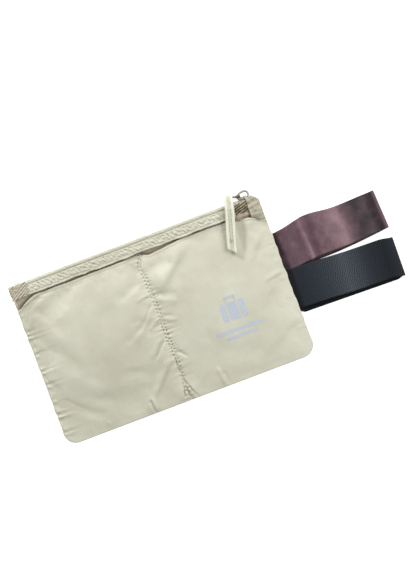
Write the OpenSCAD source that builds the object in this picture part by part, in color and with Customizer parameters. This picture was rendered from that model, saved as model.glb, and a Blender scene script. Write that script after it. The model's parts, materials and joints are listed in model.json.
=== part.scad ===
// Flat travel pouch with a zip along its top edge, a divided front pocket and two belt loops.
// It lies on its back: +X runs along the zip towards the belt loops, +Y towards the zip, +Z up.
// The origin is the centre of the back panel's outer face. All sizes are in millimetres.

/* [Pouch] */
// Width of the pouch, along the zip
pouch_w = 190; // [180:1:200]
// Height of the pouch, from the bottom seam to the zip
pouch_h = 122; // [116:1:128]
// Thickness of the fabric
fabric_t = 0.5; // [0.4:0.05:0.6]
// Radius of the two bottom corners
corner_r = 9; // [6:0.5:12]
// Width of the flat sewn margin inside the side and bottom edges
seam_w = 3; // [2:0.5:4]
// Free space in the main compartment, back to front
main_gap = 4.5; // [4.4:0.1:6]
// Width of the slope from a seam up to the flat of the front panel
main_slope = 10; // [8:1:12]

/* [Front pocket] */
// Free space in the front pocket, back to front
pocket_gap = 4.5; // [4.4:0.1:6]
// Width of the slope from a seam up to the flat of the pocket
pocket_slope = 12; // [11:1:14]
// Distance from the top of the pouch down to the pocket's mouth
mouth_drop = 11; // [10:0.5:13]
// How far the mouth falls again where it meets the side seams
mouth_fall = 8; // [4:0.5:12]
// Width of the sewn strip that divides the pocket in two
divider_w = 4; // [3:0.5:6]

/* [Zip] */
// Width of the zip slider, across the chain
slider_w = 5.2; // [5:0.1:5.4]
// Length of the zip slider, along the chain
slider_len = 9; // [8:0.5:9]
// Distance from the right edge of the pouch to the middle of the closed slider
slider_inset = 10; // [10:0.5:14]
// Height of the slider's bridge above its top plate
bridge_h = 4.3; // [4.2:0.1:5]
// Width of the zip facing that covers the front tape
facing_w = 10; // [9:0.5:11]

/* [Puller] */
// Angle by which the pull tab is lifted off the slider
pull_lift = 15.6; // [8:0.2:20]
// Length of the fabric puller, from its bar to its cut end
puller_len = 39; // [30:1:45]
// Width of the fabric puller
puller_w = 6; // [5:0.5:6.5]

/* [Belt loops] */
// Width of the webbing
web_w = 29; // [25:0.5:29]
// Thickness of the webbing
web_t = 0.7; // [0.5:0.1:0.9]
// Length of each loop, from its hinge line at the seam to its fold
loop_len = 78; // [60:1:90]
// Free space inside each loop, between its two layers
loop_gap = 4.5; // [4.4:0.1:6]
// Angle of the satin loop away from square to the seam
satin_splay = 2.7; // [0:0.1:3]
// Angle of the elastic loop away from square to the seam
elastic_splay = -1.4; // [-2:0.1:0]

/* [Stitching] */
// Distance from one stitch to the next
stitch_pitch = 4; // [3:0.5:6]
// Thickness of the thread
thread_t = 0.3; // [0.2:0.05:0.4]

/* [Hidden] */

half_w = pouch_w / 2;
half_h = pouch_h / 2;
eps = 0.01;
// Room between parts that move past each other
clear = 0.3;
// Anything at least as large as the whole pouch
far = 400;

// Heights of the panels' undersides, at the seams and on their flats
front_low = fabric_t;
front_high = front_low + main_gap;
pocket_low = 2 * fabric_t;
pocket_high = front_high + fabric_t + pocket_gap;
pocket_top = pocket_high + fabric_t;
mouth_y = half_h - mouth_drop;

// The zip chain stands on the pouch's top edge, with its teeth facing +Y
coil_t = 1.3;
coil_w = 1.35;
coil_split = 1.1;
chain_top_y = half_h;
chain_low_y = chain_top_y - coil_t;
tape_y = chain_low_y - fabric_t;
chain_z = fabric_t + clear + slider_w / 2;
chain_left = -half_w + 5;
chain_right = half_w - 4.2;
stop_len = 3;
front_tape_z = chain_z + slider_w / 2 + clear;
// The back tape's own edge, and half the width over which it is sewn to the back panel
tape_edge_y = mouth_y - 3;
tape_lap_half = half_w - seam_w - 2;
facing_low_y = half_h - 0.8 - facing_w;
facing_z = front_tape_z + fabric_t;
facing_right = half_w - 17;
fold_left = half_w - 8;
corner_cut = 4.5;
end_tab_len = 11;

// Length of the stitching along a side seam, below the pocket's mouth
side_stitch_len = pouch_h - mouth_drop - mouth_fall - corner_r - 2;
// Length of the stitching along the hem of each half of the pocket
hem_stitch_len = half_w - seam_w - 2 * pocket_slope - divider_w / 2 - 4;

// Slider and pull tab
slider_x = half_w - slider_inset;
slider_left = slider_x - slider_len / 2;
plate_t = 0.9;
plate_y = chain_top_y + clear;
bridge_base_y = plate_y + plate_t;
bridge_w = 1.8;
bridge_bar = 1.2;
neck_t = 0.5;
neck_len = 1.2;
flange_t = 0.4;
flange_y = tape_y + fabric_t + clear;
pivot_x = slider_x - 2.2;
pivot_y = bridge_base_y + 0.9;
bar_r = 0.45;
ring_len = 11.5;

// The puller lies in the pull tab's frame: up from its bar, over the zip and down the pouch's front
strip_x = -7.5;
strip_t = 0.5;
wrap_in = bar_r + 0.15;
wrap_out = wrap_in + strip_t;
// Distance from the ring's middle to its sides, which leaves room for the puller over the bridge
ring_z = bridge_w / 2 + clear + wrap_out;
rise_z = facing_z + 2 * fabric_t + strip_t + clear - chain_z;
drape_z = pocket_top + thread_t + strip_t + clear - chain_z;
drape = [[-2.4, rise_z + 0.8], [mouth_y + 2 - pivot_y, drape_z], [-puller_len, drape_z]];

// Belt loops: each turns about a line just outside the side seam
hinge_x = half_w + 1.9;
hinge_z = web_t;
satin_y = 15.6;
elastic_y = -14.2;
loop_rise = 13;

// Points of an arc about c, from angle a0 to angle a1
function arc(c, r, a0, a1, n = 8) =
    [for (i = [0:n]) let (a = a0 + (a1 - a0) * i / n) [c.x + r * cos(a), c.y + r * sin(a)]];

// Outline of a panel whose top edge is the list of points given, from right to left
function panel_outline(top) = concat(
    top,
    arc([-half_w + corner_r, -half_h + corner_r], corner_r, 180, 270),
    arc([half_w - corner_r, -half_h + corner_r], corner_r, 270, 360)
);

// Area under a line of points, as a closed polygon that reaches far below
function below(line) = concat(line, [[line[len(line) - 1].x, -far], [line[0].x, -far]]);

// Height of a panel along X, from seam to seam
function seam_to_seam(low, high, slope) = [
    [-half_w, low], [-half_w + seam_w, low], [-half_w + seam_w + slope, high],
    [half_w - seam_w - slope, high], [half_w - seam_w, low], [half_w, low]
];

// Height of a panel along Y, from the bottom seam to its top edge
function seam_to_top(low, high, slope) = [
    [-half_h, low], [-half_h + seam_w, low], [-half_h + seam_w + slope, high], [half_h, high]
];

// The pocket's line also dips to the front panel at its divider
function divided_line(low, high, slope) =
    let (dip = front_high + fabric_t, wing = divider_w / 2 + slope) [
        [-half_w, low], [-half_w + seam_w, low], [-half_w + seam_w + slope, high],
        [-wing, high], [-divider_w / 2, dip], [divider_w / 2, dip], [wing, high],
        [half_w - seam_w - slope, high], [half_w - seam_w, low], [half_w, low]
    ];

// A line of points raised by the fabric's thickness
function raised(line) = [for (p = line) [p.x, p.y + fabric_t]];

// Solid under two crossed height lines, the lower of the two at each point
module under(line_x, line_y) {
    intersection() {
        rotate([90, 0, 0]) linear_extrude(height = far, center = true) polygon(below(line_x));
        rotate([90, 0, 90]) linear_extrude(height = far, center = true) polygon(below(line_y));
    }
}

// Sheet of fabric that follows two crossed height lines, cut to an outline
module crowned_sheet(line_x, line_y, outline) {
    intersection() {
        difference() {
            under(raised(line_x), raised(line_y));
            under(line_x, line_y);
        }
        translate([0, 0, -1]) linear_extrude(height = 2 * pocket_top) polygon(outline);
    }
}

// Strip along X with the YZ outline given
module along_x(from, to, outline) {
    translate([from, 0, 0]) rotate([90, 0, 90]) linear_extrude(height = to - from) polygon(outline);
}

// YZ outline of a strip of fabric whose underside follows a line of points
function strip_outline(line, t = fabric_t) = concat(line, [for (i = [len(line) - 1:-1:0]) line[i] + [0, t]]);

// Stitches along X or Y, starting at a point and covering a length
module stitches_x(start, length) {
    for (i = [0:floor(length / stitch_pitch) - 1])
        translate([start.x + (i + 0.2) * stitch_pitch, start.y - thread_t, start.z])
            cube([stitch_pitch * 0.6, 2 * thread_t, thread_t]);
}

module stitches_y(start, length) {
    for (i = [0:floor(length / stitch_pitch) - 1])
        translate([start.x - thread_t, start.y + (i + 0.2) * stitch_pitch, start.z])
            cube([2 * thread_t, stitch_pitch * 0.6, thread_t]);
}

// ---- Panels ----

module back_panel() {
    color([0.78, 0.77, 0.68])
        linear_extrude(height = fabric_t)
            polygon(panel_outline([[half_w, mouth_y + 2], [-half_w, mouth_y + 2]]));
}

module front_panel() {
    color([0.70, 0.67, 0.58])
        crowned_sheet(
            seam_to_seam(front_low, front_high, main_slope),
            seam_to_top(front_low, front_high, main_slope),
            panel_outline([[half_w, mouth_y + 2], [-half_w, mouth_y + 2]])
        );
}

module pocket_panel() {
    color([0.80, 0.80, 0.71])
        crowned_sheet(
            divided_line(pocket_low, pocket_high, pocket_slope),
            seam_to_top(pocket_low, pocket_high, pocket_slope),
            panel_outline([
                [half_w, mouth_y - mouth_fall], [half_w - 11, mouth_y - 3], [half_w - 20, mouth_y],
                [-half_w + 14, mouth_y], [-half_w, mouth_y - mouth_fall]
            ])
        );
}

// ---- Zip ----

// Both tapes are sewn to their panel, run up to the chain's level and turn in under the coil
module zip_back_tape() {
    color([0.62, 0.60, 0.52]) {
        along_x(-tape_lap_half, tape_lap_half, strip_outline([
            [tape_edge_y, fabric_t], [mouth_y + 2 + fabric_t, fabric_t]
        ]));
        along_x(-half_w, half_w, strip_outline([[mouth_y + 2, 0], [tape_y + fabric_t, 0]]));
        along_x(-half_w, half_w, [
            [tape_y, fabric_t], [tape_y + fabric_t, fabric_t],
            [tape_y + fabric_t, chain_z - coil_split / 2], [tape_y, chain_z - coil_split / 2]
        ]);
    }
}

module zip_front_tape() {
    color([0.45, 0.42, 0.36])
        intersection() {
            union() {
                along_x(-half_w, half_w, strip_outline([
                    [facing_low_y, front_high + fabric_t], [mouth_y + 2, front_high + fabric_t],
                    [mouth_y + 2 + fabric_t, front_tape_z], [tape_y + fabric_t, front_tape_z]
                ]));
                along_x(-half_w, half_w, [
                    [tape_y, chain_z + coil_split / 2], [tape_y + fabric_t, chain_z + coil_split / 2],
                    [tape_y + fabric_t, front_tape_z], [tape_y, front_tape_z]
                ]);
            }
            chamfered_corner();
        }
}

// Keeps everything but the cut-off corner at the closed end of the zip
module chamfered_corner() {
    linear_extrude(height = far, center = true)
        polygon([
            [-far, -far], [half_w, -far], [half_w, half_h - corner_cut], [half_w - corner_cut, half_h],
            [half_w - corner_cut, far], [-far, far]
        ]);
}

module zip_facing() {
    color([0.82, 0.82, 0.73])
        along_x(-half_w, facing_right, strip_outline([
            [facing_low_y, front_high + 2 * fabric_t], [mouth_y + 2, front_high + 2 * fabric_t],
            [mouth_y + 2 + fabric_t, facing_z], [tape_y + fabric_t + 0.6, facing_z]
        ]));
}

module zip_corner_fold() {
    color([0.80, 0.80, 0.71])
        intersection() {
            along_x(fold_left, half_w, strip_outline([
                [mouth_y + 3, facing_z], [tape_y + fabric_t + 0.6, facing_z]
            ]));
            chamfered_corner();
        }
}

module zip_end_tab() {
    color([0.74, 0.73, 0.63])
        translate([-half_w + 1, facing_low_y + 3.2, facing_z + fabric_t])
            cube([end_tab_len, facing_w - 3.6, fabric_t]);
}

// One half of the chain: a rounded strip on the outer face of its tape
module coil(low_z) {
    along_x(chain_left, chain_right, concat(
        [[chain_low_y, low_z], [chain_low_y, low_z + coil_w]],
        arc([chain_top_y - coil_w / 2, low_z + coil_w / 2], coil_w / 2, 90, -90, 6)
    ));
}

module zip_front_coil() {
    color([0.66, 0.64, 0.56]) coil(chain_z + coil_split / 2);
}

module zip_back_coil() {
    color([0.66, 0.64, 0.56]) coil(chain_z - coil_split / 2 - coil_w);
}

// A metal clip across both halves of the chain
module chain_clip(from, to) {
    translate([from, chain_top_y + eps, chain_z - slider_w / 2 + clear])
        cube([to - from, 0.5, slider_w - 2 * clear]);
}

module zip_bottom_stop() {
    color([0.55, 0.54, 0.50]) chain_clip(chain_left, chain_left + stop_len);
}

module zip_top_stop() {
    color([0.55, 0.54, 0.50]) chain_clip(chain_right - 1, chain_right);
}

// ---- Seams inside the pouch ----

module side_binding(side) {
    translate([side * (half_w - seam_w - 4.7) - 3, -half_h + corner_r + 6, fabric_t])
        cube([6, pouch_h - mouth_drop - corner_r - 12, 0.3]);
}

module left_seam_binding() {
    color([0.55, 0.53, 0.47]) side_binding(-1);
}

module right_seam_binding() {
    color([0.55, 0.53, 0.47]) side_binding(1);
}

module bottom_seam_binding() {
    color([0.55, 0.53, 0.47])
        translate([-half_w + corner_r + 4, -half_h + seam_w + 1.7, fabric_t])
            cube([pouch_w - 2 * corner_r - 8, 6, 0.3]);
}

// ---- Stitching ----

module left_seam_stitching() {
    color([0.88, 0.88, 0.80])
        stitches_y([-half_w + seam_w / 2, -half_h + corner_r, pocket_low + fabric_t], side_stitch_len);
}

module right_seam_stitching() {
    color([0.88, 0.88, 0.80])
        stitches_y([half_w - seam_w * 0.75, -half_h + corner_r, pocket_low + fabric_t], side_stitch_len);
}

module bottom_seam_stitching() {
    color([0.88, 0.88, 0.80])
        stitches_x([-half_w + corner_r, -half_h + seam_w / 2, pocket_low + fabric_t], pouch_w - 2 * corner_r);
}

module divider_stitching() {
    color([0.88, 0.88, 0.80])
        for (side = [-1, 1])
            stitches_y(
                [side * divider_w / 4, -half_h + seam_w + pocket_slope, front_high + 2 * fabric_t],
                mouth_y + half_h - seam_w - pocket_slope - 1
            );
}

module hem_stitching() {
    color([0.88, 0.88, 0.80])
        for (side = [-1, 1])
            translate([side > 0 ? divider_w / 2 + pocket_slope : -half_w + seam_w + pocket_slope, 0, 0])
                stitches_x([0, mouth_y - 2.5, pocket_top], hem_stitch_len);
}

module zip_front_stitching() {
    color([0.88, 0.88, 0.80])
        stitches_x(
            [-half_w + end_tab_len + 2, tape_y - 2.4, facing_z + fabric_t],
            facing_right + half_w - end_tab_len - 3
        );
}

module zip_back_stitching() {
    color([0.88, 0.88, 0.80])
        stitches_x([-tape_lap_half + 1, mouth_y - 1, 2 * fabric_t], 2 * tape_lap_half - 2);
}

// Two close rows of stitches that hold the ends of a belt loop in the side seam
module bartack(centre_y) {
    for (row = [0, 1])
        stitches_y([half_w - 0.5 - row * 0.9, centre_y - web_w / 2 + 1, pocket_low + fabric_t], web_w - 2);
}

module satin_bartack() {
    color([0.50, 0.40, 0.43]) bartack(satin_y);
}

module elastic_bartack() {
    color([0.18, 0.19, 0.21]) bartack(elastic_y);
}

// ---- Print: a plain suitcase sign over two bars ----

module printed_emblem() {
    print_t = 0.1;
    color([0.68, 0.71, 0.76])
        translate([50, -12, pocket_top])
            linear_extrude(height = print_t) {
                difference() {
                    translate([-9, -6]) square([18, 13]);
                    translate([-4.4, -6 - eps]) square([1.2, 14]);
                    translate([3.2, -6 - eps]) square([1.2, 14]);
                }
                difference() {
                    translate([-4, 7]) square([8, 4]);
                    translate([-2.4, 7 - eps]) square([4.8, 2.4]);
                }
                translate([-18, -14]) square([36, 2.4]);
                translate([-12, -19]) square([24, 2.4]);
            }
}

// ---- Slider, pull tab and puller ----

// Two plates over and under the chain, joined by a neck between its halves, and a bridge on top
module slider_body() {
    color([0.56, 0.54, 0.50]) {
        translate([slider_left, plate_y, chain_z - slider_w / 2])
            cube([slider_len, plate_t, slider_w]);
        for (side = [-1, 1])
            translate([slider_left, flange_y, chain_z + side * (slider_w - flange_t) / 2 - flange_t / 2])
                cube([slider_len, plate_y - flange_y + eps, flange_t]);
        translate([slider_left, tape_y - clear - plate_t, chain_z - slider_w / 2])
            cube([slider_len, plate_t, slider_w]);
        translate([slider_left + slider_len - neck_len - 0.3, tape_y - clear - eps, chain_z - neck_t / 2])
            cube([neck_len, plate_y - tape_y + clear + 2 * eps, neck_t]);
        translate([0, 0, chain_z - bridge_w / 2]) linear_extrude(height = bridge_w) bridge_outline();
    }
}

// Side view of the bridge: an arch with its top nearer the closed end
module bridge_outline() {
    left = slider_left + 0.2;
    right = slider_left + slider_len - 0.2;
    top = bridge_base_y + bridge_h;
    difference() {
        polygon([
            [left, bridge_base_y - eps], [left + 0.4, bridge_base_y + 1.9],
            [left + 2.6, top - 0.6], [left + 4.6, top],
            [right - 2, top - 0.3], [right - 0.4, top - 2.2], [right, bridge_base_y - eps]
        ]);
        polygon([
            [left + bridge_bar, bridge_base_y], [left + bridge_bar + 0.2, bridge_base_y + 1.4],
            [left + 3, top - bridge_bar - 0.4], [left + 4.6, top - bridge_bar],
            [right - 2.4, top - bridge_bar - 0.3], [right - bridge_bar - 0.2, top - 2.6],
            [right - bridge_bar, bridge_base_y]
        ]);
    }
}

// Places children in the pull tab's frame: its pin is the origin and it points along -X
module at_pivot() {
    translate([pivot_x, pivot_y, chain_z]) rotate([0, 0, -pull_lift]) children();
}

// A flat wire ring: one end is the pin through the bridge, and one long side carries the fabric puller
module pull_tab() {
    color([0.50, 0.48, 0.45])
        at_pivot() {
            for (end_x = [-ring_len, 0])
                translate([end_x, 0, 0]) cylinder(r = bar_r, h = 2 * ring_z + bar_r, center = true, $fn = 24);
            for (side = [-1, 1])
                translate([-ring_len, 0, side * ring_z]) rotate([0, 90, 0])
                    cylinder(r = bar_r, h = ring_len, $fn = 24);
        }
}

// Side view of the folded strip: two layers that wrap the ring's upper side and lie together past it
module strip_outline_yz() {
    difference() {
        polygon(concat(
            arc([0, ring_z], wrap_out, 180, 360, 12),
            [[strip_t, rise_z + 0.5]],
            [for (p = drape) p + [0, strip_t]],
            [for (i = [2:-1:0]) drape[i] - [0, strip_t]],
            [[-strip_t, rise_z - strip_t]]
        ));
        polygon(concat(arc([0, ring_z], wrap_in, 180, 360, 12), [[0, rise_z - strip_t]]));
    }
}

module puller_strip() {
    color([0.92, 0.92, 0.84])
        at_pivot()
            translate([strip_x - puller_w / 2, 0, 0]) rotate([90, 0, 90])
                linear_extrude(height = puller_w) strip_outline_yz();
}

module puller_stitching() {
    color([0.75, 0.75, 0.66])
        at_pivot()
            for (side = [-1, 1])
                stitches_y([strip_x + side * (puller_w / 2 - 1.3), -puller_len + 4, drape_z + strip_t], 20);
}

// ---- Belt loops ----

// Side view of a loop about its hinge line: two layers that part from the root and meet in a fold
module loop_outline() {
    top = web_t + loop_gap;
    fold_r = (top + hinge_z) / 2;
    fold = [loop_len - fold_r, top - fold_r];
    difference() {
        polygon(concat(arc([0, 0], web_t, 270, 90), [[loop_rise, top]], arc(fold, fold_r, 90, -90, 12)));
        polygon(concat([[2.2 * web_t, 0], [loop_rise, top - web_t]], arc(fold, fold_r - web_t, 90, -90, 12)));
    }
}

module belt_loop(centre_y, splay) {
    translate([hinge_x, centre_y, hinge_z])
        rotate([0, 0, splay])
            rotate([90, 0, 0]) linear_extrude(height = web_w, center = true) loop_outline();
}

module satin_loop() {
    color([0.40, 0.28, 0.32]) belt_loop(satin_y, satin_splay);
}

module elastic_loop() {
    color([0.17, 0.18, 0.21]) belt_loop(elastic_y, elastic_splay);
}

back_panel();
front_panel();
pocket_panel();
zip_facing();
zip_corner_fold();
zip_end_tab();
zip_front_tape();
zip_back_tape();
zip_front_coil();
zip_back_coil();
zip_bottom_stop();
zip_top_stop();
left_seam_binding();
right_seam_binding();
bottom_seam_binding();
left_seam_stitching();
right_seam_stitching();
bottom_seam_stitching();
divider_stitching();
hem_stitching();
zip_front_stitching();
zip_back_stitching();
satin_bartack();
elastic_bartack();
printed_emblem();
slider_body();
pull_tab();
puller_strip();
puller_stitching();
satin_loop();
elastic_loop();
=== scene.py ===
"""Looks of a flat travel pouch with a divided front pocket, a top zip and two belt loops.

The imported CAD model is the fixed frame. Lengths are in millimetres, and MM turns them into metres where
a mesh is made. +X runs along the zip, +Y towards the zip, +Z up from the table. The numbers in a shape's
list are places and sizes on the pouch.
"""

import json
import math

import bpy
import numpy as np
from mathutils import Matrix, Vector
from mathutils.bvhtree import BVHTree


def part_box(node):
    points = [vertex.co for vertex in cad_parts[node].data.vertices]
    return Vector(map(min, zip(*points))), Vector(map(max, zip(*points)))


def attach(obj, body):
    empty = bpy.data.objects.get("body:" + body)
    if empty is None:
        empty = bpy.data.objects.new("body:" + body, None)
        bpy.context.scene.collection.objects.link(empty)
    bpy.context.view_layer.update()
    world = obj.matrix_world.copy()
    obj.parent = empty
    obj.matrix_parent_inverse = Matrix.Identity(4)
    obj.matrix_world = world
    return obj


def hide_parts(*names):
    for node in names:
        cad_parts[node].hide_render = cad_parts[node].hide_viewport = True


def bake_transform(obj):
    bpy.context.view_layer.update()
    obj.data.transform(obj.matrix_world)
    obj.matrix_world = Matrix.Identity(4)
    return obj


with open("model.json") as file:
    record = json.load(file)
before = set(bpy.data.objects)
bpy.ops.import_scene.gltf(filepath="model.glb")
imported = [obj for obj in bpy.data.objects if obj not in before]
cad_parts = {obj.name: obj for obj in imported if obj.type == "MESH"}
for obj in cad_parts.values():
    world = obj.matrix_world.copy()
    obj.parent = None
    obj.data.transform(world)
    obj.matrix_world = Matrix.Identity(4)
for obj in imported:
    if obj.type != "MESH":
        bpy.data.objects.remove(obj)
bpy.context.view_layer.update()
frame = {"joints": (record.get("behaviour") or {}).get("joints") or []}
MM = 0.001
TURN = 2 * math.pi
UV_UNIT = 10


# ---- Sizes read from the frame, in millimetres ----


def box_mm(node):
    """Lowest and highest corner of a CAD node, in millimetres."""
    low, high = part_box(node)
    return low / MM, high / MM


def joint_mm(name):
    """Place (millimetres) and unit axis of a joint."""
    found = next(j for j in frame["joints"] if j["name"] == name)
    return Vector(found.get("pos_m", (0, 0, 0))) / MM, Vector(found["axis"]).normalized()


HALF_W = box_mm("back_panel")[1].x
HALF_H = -box_mm("back_panel")[0].y
POCKET_TOP = box_mm("pocket_panel")[1].z
MOUTH_Y = box_mm("pocket_panel")[1].y
FRONT_TOP = box_mm("front_panel")[1].z
COIL_LOW, COIL_HIGH = box_mm("zip_front_coil")
CHAIN_LOW_Y, CHAIN_TOP_Y = COIL_LOW.y, COIL_HIGH.y
CHAIN_Z = (COIL_HIGH.z + box_mm("zip_back_coil")[0].z) / 2
BAND_LOW_Y = box_mm("zip_facing")[0].y
BAND_RIGHT = box_mm("zip_facing")[1].x
BAND_TOP = box_mm("zip_facing")[1].z
CORNER_R = 9.0
FABRIC_T = 0.3
HEM_STITCH = 2.3
LOOP_LENGTH = 77.6
LOOP_HALF = 14.45
WEBBING_LENGTH = 166.0
PULLER_X = -8.4
PULLER_HALF = 2.95
PULLER_LENGTH = 39.0
RING_LENGTH = 10.9
SETTLE_FRAMES = 20


# ---- Small numeric helpers ----


def smooth(t):
    """Smooth step from 0 to 1 as t goes from 0 to 1."""
    t = np.clip(t, 0.0, 1.0)
    return t * t * (3 - 2 * t)


def bell(distance, width, power=2):
    """1 at no distance, and almost 0 past twice the width. A higher power gives a flatter top."""
    return np.exp(-(np.abs(distance / width) ** power))


def fade(distance, reach):
    """1 at an edge, dying away inwards over the reach given."""
    return np.exp(-distance / reach)


def wave(turns):
    """A sine wave over a number of full turns."""
    return np.sin(TURN * turns)


def noise(x, y, size, seed):
    """Smooth repeatable noise between about -1 and 1, with bumps of the size given in millimetres."""
    random = np.random.RandomState(seed)
    total = np.zeros(np.broadcast(x, y).shape)
    waves = 7
    for _ in range(waves):
        angle = random.uniform(0, TURN)
        length = size * random.uniform(1.3, 3.2)
        phase = random.uniform(0, TURN)
        along = x * math.cos(angle) + y * math.sin(angle)
        across = y * math.cos(angle) - x * math.sin(angle)
        bend = 0.35 * length * np.sin(TURN * across / (2.7 * length) + phase * 1.7)
        total = total + np.sin(TURN * (along + bend) / length + phase)
    return total / (0.6 * waves)


def fold(x, y, start, end, width, height, skew=0.0):
    """A ridge (or a valley, with a height below 0) along a straight line that fades at both ends.
    skew above 0 makes the slope on the line's right-hand side longer and the left-hand side sharper."""
    direction = np.subtract(end, start).astype(float)
    length = np.hypot(*direction)
    direction = direction / length
    along = ((x - start[0]) * direction[0] + (y - start[1]) * direction[1]) / length
    across = (x - start[0]) * direction[1] - (y - start[1]) * direction[0]
    spread = width * np.where(across > 0, 1 + skew, 1 - skew)
    return height * bell(across, spread) * smooth((along + 0.12) / 0.35) * smooth((1.12 - along) / 0.35)


# ---- Mesh helpers ----


def new_object(name, points_mm, faces, material=None):
    """A mesh object from points in millimetres."""
    mesh = bpy.data.meshes.new(name)
    mesh.from_pydata([tuple(p) for p in np.asarray(points_mm, float) * MM], [], faces)
    mesh.validate()
    mesh.update()
    piece = bpy.data.objects.new(name, mesh)
    bpy.context.scene.collection.objects.link(piece)
    for polygon in mesh.polygons:
        polygon.use_smooth = True
    if material:
        mesh.materials.append(material)
    return piece


def grid_faces(rows, columns, wrap=False):
    """Quads of a grid whose points run row by row. wrap joins the last column to the first."""
    faces = []
    for i in range(rows - 1):
        row = i * columns
        for j in range(columns if wrap else columns - 1):
            k = (j + 1) % columns
            faces.append((row + j, row + k, row + columns + k, row + columns + j))
    return faces


def cloth_object(name, x, y, z, material=None):
    """A sheet from grids of x, y and z."""
    points = np.stack([x, y, z], axis=-1).reshape(-1, 3)
    return new_object(name, points, grid_faces(*x.shape), material)


def belongs(piece, node, body="pouch"):
    """Hides the CAD node that a piece stands for, and hangs the piece on the body that it rides on."""
    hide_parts(node)
    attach(piece, body)


def add_uv(piece, uv_mm):
    """A UV map in units of UV_UNIT, from one pair in millimetres for each vertex."""
    layer = piece.data.uv_layers.new(name="cloth")
    for loop in piece.data.loops:
        layer.data[loop.index].uv = uv_mm[loop.vertex_index] / UV_UNIT


def thicken(piece, thickness, offset=-1.0):
    """Gives a sheet its thickness in millimetres, growing against its normals by default."""
    modifier = piece.modifiers.new("thickness", "SOLIDIFY")
    modifier.thickness = thickness * MM
    modifier.offset = offset
    modifier.use_even_offset = False


def bevel(piece, width, segments=2):
    """Rounds the edges of a hard piece."""
    modifier = piece.modifiers.new("edges", "BEVEL")
    modifier.width = width * MM
    modifier.segments = segments
    modifier.limit_method = "ANGLE"
    modifier.angle_limit = math.radians(35)


def tube(path, radius, sides=10, closed=False):
    """Points and faces of a round tube along a path of points."""
    path = np.asarray(path, float)
    count = len(path)
    if closed:
        tangents = np.roll(path, -1, axis=0) - np.roll(path, 1, axis=0)
    else:
        tangents = np.gradient(path, axis=0)
    tangents /= np.linalg.norm(tangents, axis=1)[:, None]
    normal = np.cross(tangents[0], (0.3, 0.5, 0.81))
    points = []
    for place, tangent in zip(path, tangents):
        normal = normal - tangent * (normal @ tangent)
        normal /= np.linalg.norm(normal)
        side = np.cross(tangent, normal)
        for k in range(sides):
            angle = TURN * k / sides
            points.append(place + radius * (math.cos(angle) * normal + math.sin(angle) * side))
    faces = grid_faces(count, sides, wrap=True)
    last = (count - 1) * sides
    if closed:
        offset = best_turn(points[:sides], points[last:])
        for k in range(sides):
            m = (k + 1) % sides
            faces.append((last + k, last + m, (m + offset) % sides, (k + offset) % sides))
    else:
        faces += [tuple(range(sides))[::-1], tuple(range(last, last + sides))]
    return points, faces


def best_turn(first, last):
    """How many places to turn one ring of points so that it meets another best."""
    first, last = np.array(first), np.array(last)
    costs = [np.linalg.norm(np.roll(first, -k, axis=0) - last) for k in range(len(first))]
    return int(np.argmin(costs))


def join(parts):
    """One list of points and faces from several (points, faces) pairs."""
    points, faces = [], []
    for part_points, part_faces in parts:
        base = len(points)
        points.extend(list(p) for p in part_points)
        faces.extend(tuple(base + i for i in face) for face in part_faces)
    return points, faces


def rounded(points, per_corner=5):
    """A smooth curve (Catmull-Rom) through the points."""
    points = np.asarray(points, float)
    knots = np.vstack([2 * points[0] - points[1], points, 2 * points[-1] - points[-2]])
    curve = []
    for a, b, c, d in zip(knots[:-3], knots[1:-2], knots[2:-1], knots[3:]):
        for t in np.linspace(0, 1, per_corner, endpoint=False):
            square, cube = 2 * a - 5 * b + 4 * c - d, 3 * b - a - 3 * c + d
            curve.append(0.5 * (2 * b + (c - a) * t + square * t**2 + cube * t**3))
    return np.array(curve + [points[-1]])


# ---- Camera, light and floor ----

VIEW_CENTRE = (37.9, 10.1)
VIEW_TURN = math.radians(20.7)
VIEW_HEIGHT = 411.5
LENS = 85.0
SENSOR = 36.0


def make_camera():
    """Straight above the pouch, with the pouch turned in the picture."""
    data = bpy.data.cameras.new("camera")
    data.lens = LENS
    data.sensor_width = SENSOR
    data.clip_start = 0.01
    camera = bpy.data.objects.new("camera", data)
    bpy.context.scene.collection.objects.link(camera)
    camera.location = Vector((*VIEW_CENTRE, VIEW_HEIGHT * LENS / SENSOR + 5)) * MM
    camera.rotation_euler = (0, 0, -VIEW_TURN)
    bpy.context.scene.camera = camera


def area_light(name, place, size, power):
    """A square soft box that faces the pouch. Its place and size are in metres, its power in watts."""
    data = bpy.data.lights.new(name, "AREA")
    data.size = size
    data.energy = power
    light = bpy.data.objects.new(name, data)
    bpy.context.scene.collection.objects.link(light)
    light.location = place
    aim = Vector((*VIEW_CENTRE, 0)) * MM - Vector(place)
    light.rotation_euler = aim.to_track_quat("-Z", "Y").to_euler()


def make_stage():
    """A pale floor and soft studio light from the picture's top."""
    n = Nodes("stage_floor")
    material = n.finish(
        Base_Color=(0.93, 0.93, 0.925, 1), Roughness=0.9, Specular_IOR_Level=0.1, Emission_Color=(1, 1, 1, 1),
        Emission_Strength=0.6,
    )
    half, level = 3000, -0.02
    corners = [(x * half, y * half, level) for x, y in ((-1, -1), (1, -1), (1, 1), (-1, 1))]
    new_object("floor", corners, [(0, 1, 2, 3)], material)
    world = bpy.data.worlds.new("studio")
    world.use_nodes = True
    background = world.node_tree.nodes["Background"].inputs
    background["Color"].default_value = (1, 1, 1, 1)
    background["Strength"].default_value = 0.30
    bpy.context.scene.world = world
    area_light("key", (-0.48, 1.12, 0.76), 0.30, 13.3)
    area_light("fill", (0.66, 0.10, 0.70), 0.60, 5.6)
    bpy.context.scene.view_settings.view_transform = "Standard"


# ---- Materials ----


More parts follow.
